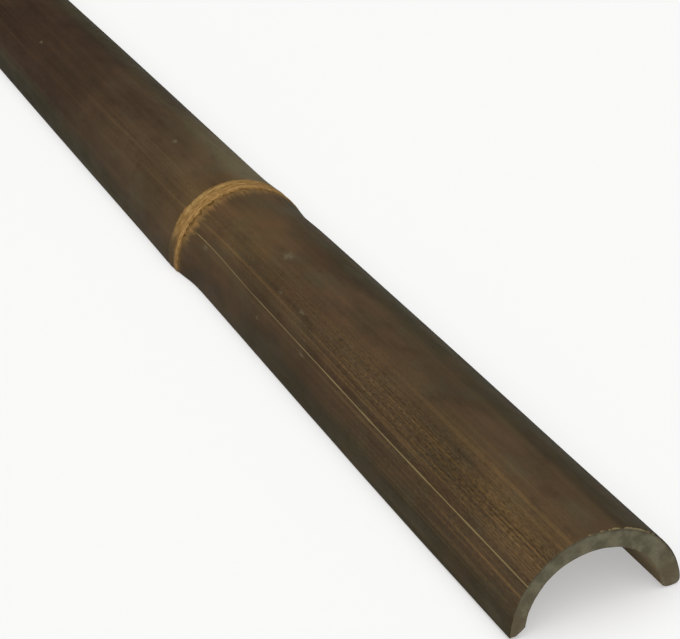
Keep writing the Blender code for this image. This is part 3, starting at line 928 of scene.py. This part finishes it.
def cut_end_material(colours):
    """Sawn end grain, dulled by dye and handling: the eye sees grey-olive wood with small dark
    fibre bundles, close together under the skin and wider apart towards the bore."""
    material, tree, shader, add = start_material("sawn bamboo end grain", 0.75, specular=0.25)
    grown = add("Attribute", output="Vector", attribute_name="grown")
    depth = add("SeparateXYZ", grown, output=2)
    place = add("TexCoord", output="Object")
    up = add("SeparateXYZ", place, output=2)
    flat = add("VectorMath", place, (0.0, 1.0, 1.0), **TIMES)
    clouds = add("TexNoise", Vector=flat, Scale=160.0, Detail=3.0)
    grit = add("TexNoise", Vector=flat, Scale=1500.0, Detail=3.0)
    small = add("TexVoronoi", Vector=flat, Scale=1500.0, feature="F1")
    large = add("TexVoronoi", Vector=flat, Scale=720.0, feature="F1")
    near_skin = add("MapRange", depth, 0.55, 0.1, **SMOOTH)
    near_bore = add("MapRange", depth, 0.25, 0.6, **SMOOTH)
    small_dots = add("MapRange", small, 0.42, 0.22, 0.0, near_skin, **SMOOTH)
    large_dots = add("MapRange", large, 0.34, 0.18, 0.0, near_bore, **SMOOTH)
    dots = add("Math", small_dots, large_dots, **PLUS)

    base = add("MapRange", clouds, 0.34, 0.66, **SMOOTH)
    warm = add("MapRange", clouds, 0.66, 0.4, 0.5, 1.0, **SMOOTH)
    warm = add("MapRange", up, 0.024, 0.003, 0.0, add("Math", warm, 0.6, **TIMES), **SMOOTH)
    gritty = add("MapRange", clouds, 0.42, 0.62, 0.3, 1.0, **SMOOTH)
    gritty = add("MapRange", grit, 0.58, 0.7, 0.0, add("Math", gritty, 0.55, **TIMES), **SMOOTH)
    skin_gap = add("Math", add("Math", clouds, -0.5, **PLUS), 0.06, depth, **PLUS_TIMES)
    rind = add("MapRange", skin_gap, 0.085, 0.03, 0.0, 0.4, **SMOOTH)
    pith = add("MapRange", depth, 0.9, 0.99, 0.0, 0.5, **SMOOTH)
    colour = add("Mix", base, colours.cut_dark, colours.cut_pale, **OVER)
    for share, layer in (
        (warm, colours.cut_warm),
        (gritty, colours.speck),
        (add("Math", dots, 0.16, **TIMES), colours.bundle),
        (rind, colours.smoked),
        (pith, colours.cut_dark),
    ):
        colour = add("Mix", share, colour, layer, **OVER)
    tree.links.new(colour, shader.inputs["Base Color"])
    height = add("Math", dots, -0.5, add("Math", grit, 0.6, **TIMES), **PLUS_TIMES)
    bump = add("Bump", Height=height, Strength=0.5, Distance=0.12 * MM)
    tree.links.new(bump, shader.inputs["Normal"])
    return material


def split_edge_material(colours):
    """Torn wood along the split: the eye sees long pale and dark fibres with a rough surface."""
    material, tree, shader, add = start_material("split bamboo edge", 0.8, specular=0.25)
    grown = add("Attribute", output="Vector", attribute_name="grown")
    fibre = drawn_out(add, grown, (0.06, 0.0005, 1.0), detail=4.0, seed=2.0)
    cloud = drawn_out(add, grown, (0.05, 0.004, 1.0), seed=9.0)
    pale = add("MapRange", fibre, 0.35, 0.65, **SMOOTH)
    stained = add("MapRange", cloud, 0.5, 0.75, 0.0, 0.6, **SMOOTH)
    colour = add("Mix", pale, colours.split_dark, colours.split_pale, **OVER)
    colour = add("Mix", stained, colour, colours.smoked, **OVER)
    tree.links.new(colour, shader.inputs["Base Color"])
    bump = add("Bump", Height=fibre, Strength=0.7, Distance=0.3 * MM)
    tree.links.new(bump, shader.inputs["Normal"])
    return material


def bore_material(colours):
    """The culm's papery lining, stained by smoke: the eye sees dull brown with fine wrinkles
    along the grain and darker tide marks."""
    material, tree, shader, add = start_material("smoked bamboo bore lining", 0.8, specular=0.2)
    grown = add("Attribute", output="Vector", attribute_name="grown")
    wrinkle = drawn_out(add, grown, (0.035, 0.0011, 1.0), detail=4.0, seed=4.0)
    stain = drawn_out(add, grown, (0.09, 0.022, 1.0), detail=5.0, seed=13.0)
    pale = add("MapRange", stain, 0.36, 0.64, **SMOOTH)
    creased = add("MapRange", wrinkle, 0.55, 0.4, 0.0, 0.45, **SMOOTH)
    colour = add("Mix", pale, colours.bore_dark, colours.bore_pale, **OVER)
    colour = add("Mix", creased, colour, colours.bore_dark, **OVER)
    tree.links.new(colour, shader.inputs["Base Color"])
    bump = add("Bump", Height=wrinkle, Strength=0.6, Distance=0.35 * MM)
    tree.links.new(bump, shader.inputs["Normal"])
    return material


def septum_material(colours):
    """A node's septum seen from the hollow: the eye sees tan papery pith, smoked dark towards
    the middle, with fine cracks and a pale ring where it joins the wall."""
    material, tree, shader, add = start_material("smoked bamboo septum", 0.85, specular=0.2)
    disc = add("Attribute", output="Vector", attribute_name="disc")
    out = add("SeparateXYZ", disc)
    place = add("TexCoord", output="Object")
    cloud = drawn_out(add, place, (0.01, 0.01, 0.007), detail=4.0, seed=3.0)
    fibre = drawn_out(add, place, (0.003, 0.003, 0.0012), detail=4.0, seed=8.0)
    pale = add("MapRange", cloud, 0.34, 0.66, **SMOOTH)
    middle = add("MapRange", out, 0.75, 0.15, 0.0, 0.55, **SMOOTH)
    middle = add("MapRange", cloud, 0.7, 0.4, 0.0, middle, **SMOOTH)
    cracked = add("MapRange", fibre, 0.44, 0.3, 0.0, 0.5, **SMOOTH)
    colour = add("Mix", pale, colours.bore_dark, colours.bore_pale, **OVER)
    colour = add("Mix", middle, colour, colours.smoked, **OVER)
    colour = add("Mix", cracked, colour, colours.bore_dark, **OVER)
    tree.links.new(colour, shader.inputs["Base Color"])
    bump = add("Bump", Height=fibre, Strength=0.6, Distance=0.4 * MM)
    tree.links.new(bump, shader.inputs["Normal"])
    return material


# --------------------------------------------------------------------------------- properties


def colour_prop(name, description, colour_hex):
    return FloatVectorProperty(
        name=name,
        description=description,
        default=linear(colour_hex),
        subtype="COLOR",
        size=3,
        min=0.0,
        max=1.0,
    )


class BambooSizes(PropertyGroup):
    wall: FloatProperty(
        name="Wall",
        description="Thickness of the culm's wall at the near end",
        default=0.0079,
        unit="LENGTH",
    )
    crack_depth: FloatProperty(
        name="Crack depth",
        description="How deep the hairline crack goes",
        default=0.00045,
        unit="LENGTH",
    )
    septum_thickness: FloatProperty(
        name="Septum",
        description="Thickness of the wall across the bore at a node",
        default=0.0036,
        unit="LENGTH",
    )


class BambooColours(PropertyGroup):
    smoked: colour_prop("Smoked skin", "Darkest skin", "#37291e")
    brown: colour_prop("Brown skin", "Skin between dark clouds", "#4a3c2c")
    golden: colour_prop("Golden skin", "Warm band over the top", "#59472f")
    rust: colour_prop("Rust", "Reddish patches", "#5d4430")
    olive: colour_prop("Olive skin", "Grey-olive sides", "#3a3525")
    moss: colour_prop("Moss", "Greenish patches", "#4a4534")
    bloom: colour_prop("Bloom", "Pale olive skin just beyond a node", "#625a42")
    grain_dark: colour_prop("Dark grain", "Dark lines of the grain", "#33271a")
    grain_light: colour_prop("Light grain", "Light lines of the grain", "#705733")
    fringe: colour_prop("Fringe", "Faded skin beside the rings", "#8c6b3f")
    ring_shade: colour_prop("Ring shade", "The node's ring between its cords", "#86673a")
    cord: colour_prop("Cord", "The node's thick inner ring", "#a07c4c")
    lip: colour_prop("Lip", "The sheath scar's edge", "#9e8150")
    strand: colour_prop("Strand", "Brightest fibres of the rings", "#bd9862")
    pit: colour_prop("Pit", "Root pits", "#4c361a")
    speck: colour_prop("Speck", "Dried sap and dust", "#7d785f")
    crack: colour_prop("Crack", "Torn wood in the hairline crack", "#8b7a55")
    chip: colour_prop("Chip", "Wood bared where the skin chipped", "#7e6e4d")
    cut_pale: colour_prop("Cut, pale", "End grain", "#6a6550")
    cut_dark: colour_prop("Cut, dark", "End grain in its dark clouds", "#544f3c")
    cut_warm: colour_prop("Cut, warm", "End grain near the split edges", "#5f4f3a")
    bundle: colour_prop("Fibre bundle", "Dots in the end grain", "#3a3325")
    split_pale: colour_prop("Split, pale", "Pale fibres of the split edges", "#7a6546")
    split_dark: colour_prop("Split, dark", "Dark fibres of the split edges", "#3c2f21")
    bore_pale: colour_prop("Bore, pale", "Lining of the bore", "#857554")
    bore_dark: colour_prop("Bore, dark", "Stains on the lining", "#574a34")


class BambooStage(PropertyGroup):
    floor: colour_prop("Floor", "Studio floor", "#c2c2c1")
    glow: FloatProperty(
        name="Floor glow", description="Light through the floor from below", default=0.38
    )
    key: FloatProperty(name="Key light", description="Strength of the overhead light", default=2.75)
    fill: FloatProperty(name="Fill light", description="Strength of the front light", default=0.35)
    air: FloatProperty(
        name="Surroundings", description="Strength of the light from all round", default=0.16
    )


# ---------------------------------------------------------------------------------- operators


class BAMBOO_OT_culm(Operator):
    """Build the split culm with its skin, edges, bore and cut ends"""

    bl_idname = "bamboo.culm"
    bl_label = "Culm"

    def execute(self, context):
        sizes, colours = context.scene.bamboo_sizes, context.scene.bamboo_colours
        rings, facts = culm_arrays(sizes)
        count, columns = rings.shape[:2]
        inside = (ARC_COLUMNS - 2) * (RIM_SEGMENTS - 1)
        points = [rings.reshape(-1, 3)]
        near_cap, far_cap = saw_cap(rings[0]), saw_cap(rings[-1])
        points += [near_cap.reshape(-1, 3), far_cap.reshape(-1, 3)]
        points = np.concatenate(points) + culm_shift()

        full = {}
        for label, values in facts.items():
            caps = [saw_cap(values[0]), saw_cap(values[-1])]
            full[label] = np.concatenate([values.reshape(-1, 3), *(c.reshape(-1, 3) for c in caps)])

        numbers = np.arange(count * columns).reshape(count, columns)
        wall = grid_faces(numbers, wrap=True)[:, ::-1]
        near = grid_faces(cap_indices(0, count * columns))[:, ::-1]
        far = grid_faces(cap_indices((count - 1) * columns, count * columns + inside))
        column = np.tile(np.arange(columns), count - 1)
        bore_from = ARC_COLUMNS + RIM_SEGMENTS - 1
        slots = np.ones(len(wall), int)
        slots[column < ARC_COLUMNS - 1] = 0
        slots[(column >= bore_from) & (column < bore_from + ARC_COLUMNS - 1)] = 2
        slots = np.concatenate([slots, np.full(len(near) + len(far), 3)])
        faces = np.concatenate([wall, near, far])
        materials = [
            skin_material(colours),
            split_edge_material(colours),
            bore_material(colours),
            cut_end_material(colours),
        ]
        build_mesh("culm", points, faces, materials, slots, full, culm_map(stations()[0]))
        return {"FINISHED"}


class BAMBOO_OT_septa(Operator):
    """Build the septum across the bore at every node"""

    bl_idname = "bamboo.septa"
    bl_label = "Septa"

    def execute(self, context):
        sizes, colours = context.scene.bamboo_sizes, context.scene.bamboo_colours
        rng = np.random.default_rng(SEED + 1)
        material = septum_material(colours)
        for number, node in enumerate(NODES, start=1):
            points, disc = septum_arrays(rng, node, sizes)
            turns, loop = points.shape[:2]
            numbers = np.arange(turns * loop).reshape(turns, loop)
            ends = [
                np.stack([line[:-1], line[1:], back[1:], back[:-1]], -1)[: loop // 2 - 1]
                for line, back in ((row, row[::-1]) for row in (numbers[0], numbers[-1]))
            ]
            faces = np.concatenate([grid_faces(numbers), *ends])
            shift = culm_shift()
            build_mesh(
                f"septum_{number}",
                points.reshape(-1, 3) + shift,
                faces,
                [material],
                np.zeros(len(faces)),
                {"disc": disc.reshape(-1, 3)},
                welded=True,
            )
        return {"FINISHED"}


class BAMBOO_OT_stage(Operator):
    """Lay the pale floor, hang the soft lights and set up the camera"""

    bl_idname = "bamboo.stage"
    bl_label = "Stage"

    def execute(self, context):
        scene, stage = context.scene, context.scene.bamboo_stage
        floor_mesh = bpy.data.meshes.new("floor")
        side, drop = 12.0, POLE_LOW.z - 0.3 * MM
        ways = ((-1, -1), (1, -1), (1, 1), (-1, 1))
        corners = [(side * x, side * y, drop) for x, y in ways]
        floor_mesh.from_pydata(corners, [], [(0, 1, 2, 3)])
        floor = bpy.data.objects.new("floor", floor_mesh)
        scene.collection.objects.link(floor)
        material, _, shader, _ = start_material("lit white acrylic floor", 0.9, specular=0.1)
        shader.inputs["Base Color"].default_value = (*stage.floor, 1.0)
        shader.inputs["Emission Color"].default_value = (1, 1, 1, 1)
        shader.inputs["Emission Strength"].default_value = stage.glow
        floor_mesh.materials.append(material)

        world = bpy.data.worlds.new("dim room")
        world.use_nodes = True
        world.node_tree.nodes["Background"].inputs[0].default_value = (1, 1, 1, 1)
        world.node_tree.nodes["Background"].inputs[1].default_value = stage.air
        scene.world = world
        for name, direction, angle, strength in (
            ("overhead scrim", (0.15, -0.16, 1.0), 90, stage.key),
            ("front scrim", (0.90, -0.05, 0.42), 60, stage.fill),
        ):
            light = bpy.data.lights.new(name, "SUN")
            light.energy, light.angle = strength, math.radians(angle)
            lamp = bpy.data.objects.new(name, light)
            lamp.rotation_euler = Vector(direction).to_track_quat("Z", "Y").to_euler()
            scene.collection.objects.link(lamp)

        scene.view_settings.view_transform = "Standard"
        scene.camera = studio_camera(scene)
        return {"FINISHED"}


def studio_camera(scene):
    """A camera beyond the near end, looking down along the pole, rolled a little. Its axes come
    from its azimuth and elevation, then turn by the roll."""
    azimuth, elevation, roll = (math.radians(turn) for turn in CAMERA_TURNS)
    level_part = Vector((math.sin(azimuth), -math.cos(azimuth), 0)) * math.cos(elevation)
    back = level_part + Vector((0, 0, math.sin(elevation)))
    level = (-back).cross(Vector((0, 0, 1))).normalized()
    upright = level.cross(-back)
    right = math.cos(roll) * level + math.sin(roll) * upright
    up = -math.sin(roll) * level + math.cos(roll) * upright
    data = bpy.data.cameras.new("studio camera")
    data.sensor_fit, data.sensor_width, data.lens = "HORIZONTAL", 36.0, CAMERA_LENS
    data.clip_start, data.clip_end = 0.01, 60.0
    camera = bpy.data.objects.new("studio camera", data)
    axes = Matrix((right, up, back)).transposed().to_4x4()
    camera.matrix_world = Matrix.Translation(CAMERA_AT) @ axes
    scene.collection.objects.link(camera)
    return camera


class BAMBOO_PT_panel(Panel):
    """Lists what the pole is made of and its sizes and colours"""

    bl_idname = "BAMBOO_PT_panel"
    bl_label = "Half-round bamboo pole"
    bl_space_type = "VIEW_3D"
    bl_region_type = "UI"
    bl_category = "Bamboo"

    def draw(self, context):
        layout = self.layout
        for operator in (BAMBOO_OT_culm, BAMBOO_OT_septa, BAMBOO_OT_stage):
            layout.operator(operator.bl_idname)
        scene = context.scene
        for group in (scene.bamboo_sizes, scene.bamboo_colours, scene.bamboo_stage):
            box = layout.box()
            for name in group.__annotations__:
                box.prop(group, name)


CLASSES = (
    BambooSizes,
    BambooColours,
    BambooStage,
    BAMBOO_OT_culm,
    BAMBOO_OT_septa,
    BAMBOO_OT_stage,
    BAMBOO_PT_panel,
)


def register():
    for cls in CLASSES:
        bpy.utils.register_class(cls)
    bpy.types.Scene.bamboo_sizes = PointerProperty(type=BambooSizes)
    bpy.types.Scene.bamboo_colours = PointerProperty(type=BambooColours)
    bpy.types.Scene.bamboo_stage = PointerProperty(type=BambooStage)


def unregister():
    del bpy.types.Scene.bamboo_stage
    del bpy.types.Scene.bamboo_colours
    del bpy.types.Scene.bamboo_sizes
    for cls in reversed(CLASSES):
        bpy.utils.unregister_class(cls)


def main():
    register()
    bpy.ops.bamboo.culm()
    bpy.ops.bamboo.septa()
    bpy.ops.bamboo.stage()


if __name__ == "__main__":
    main()
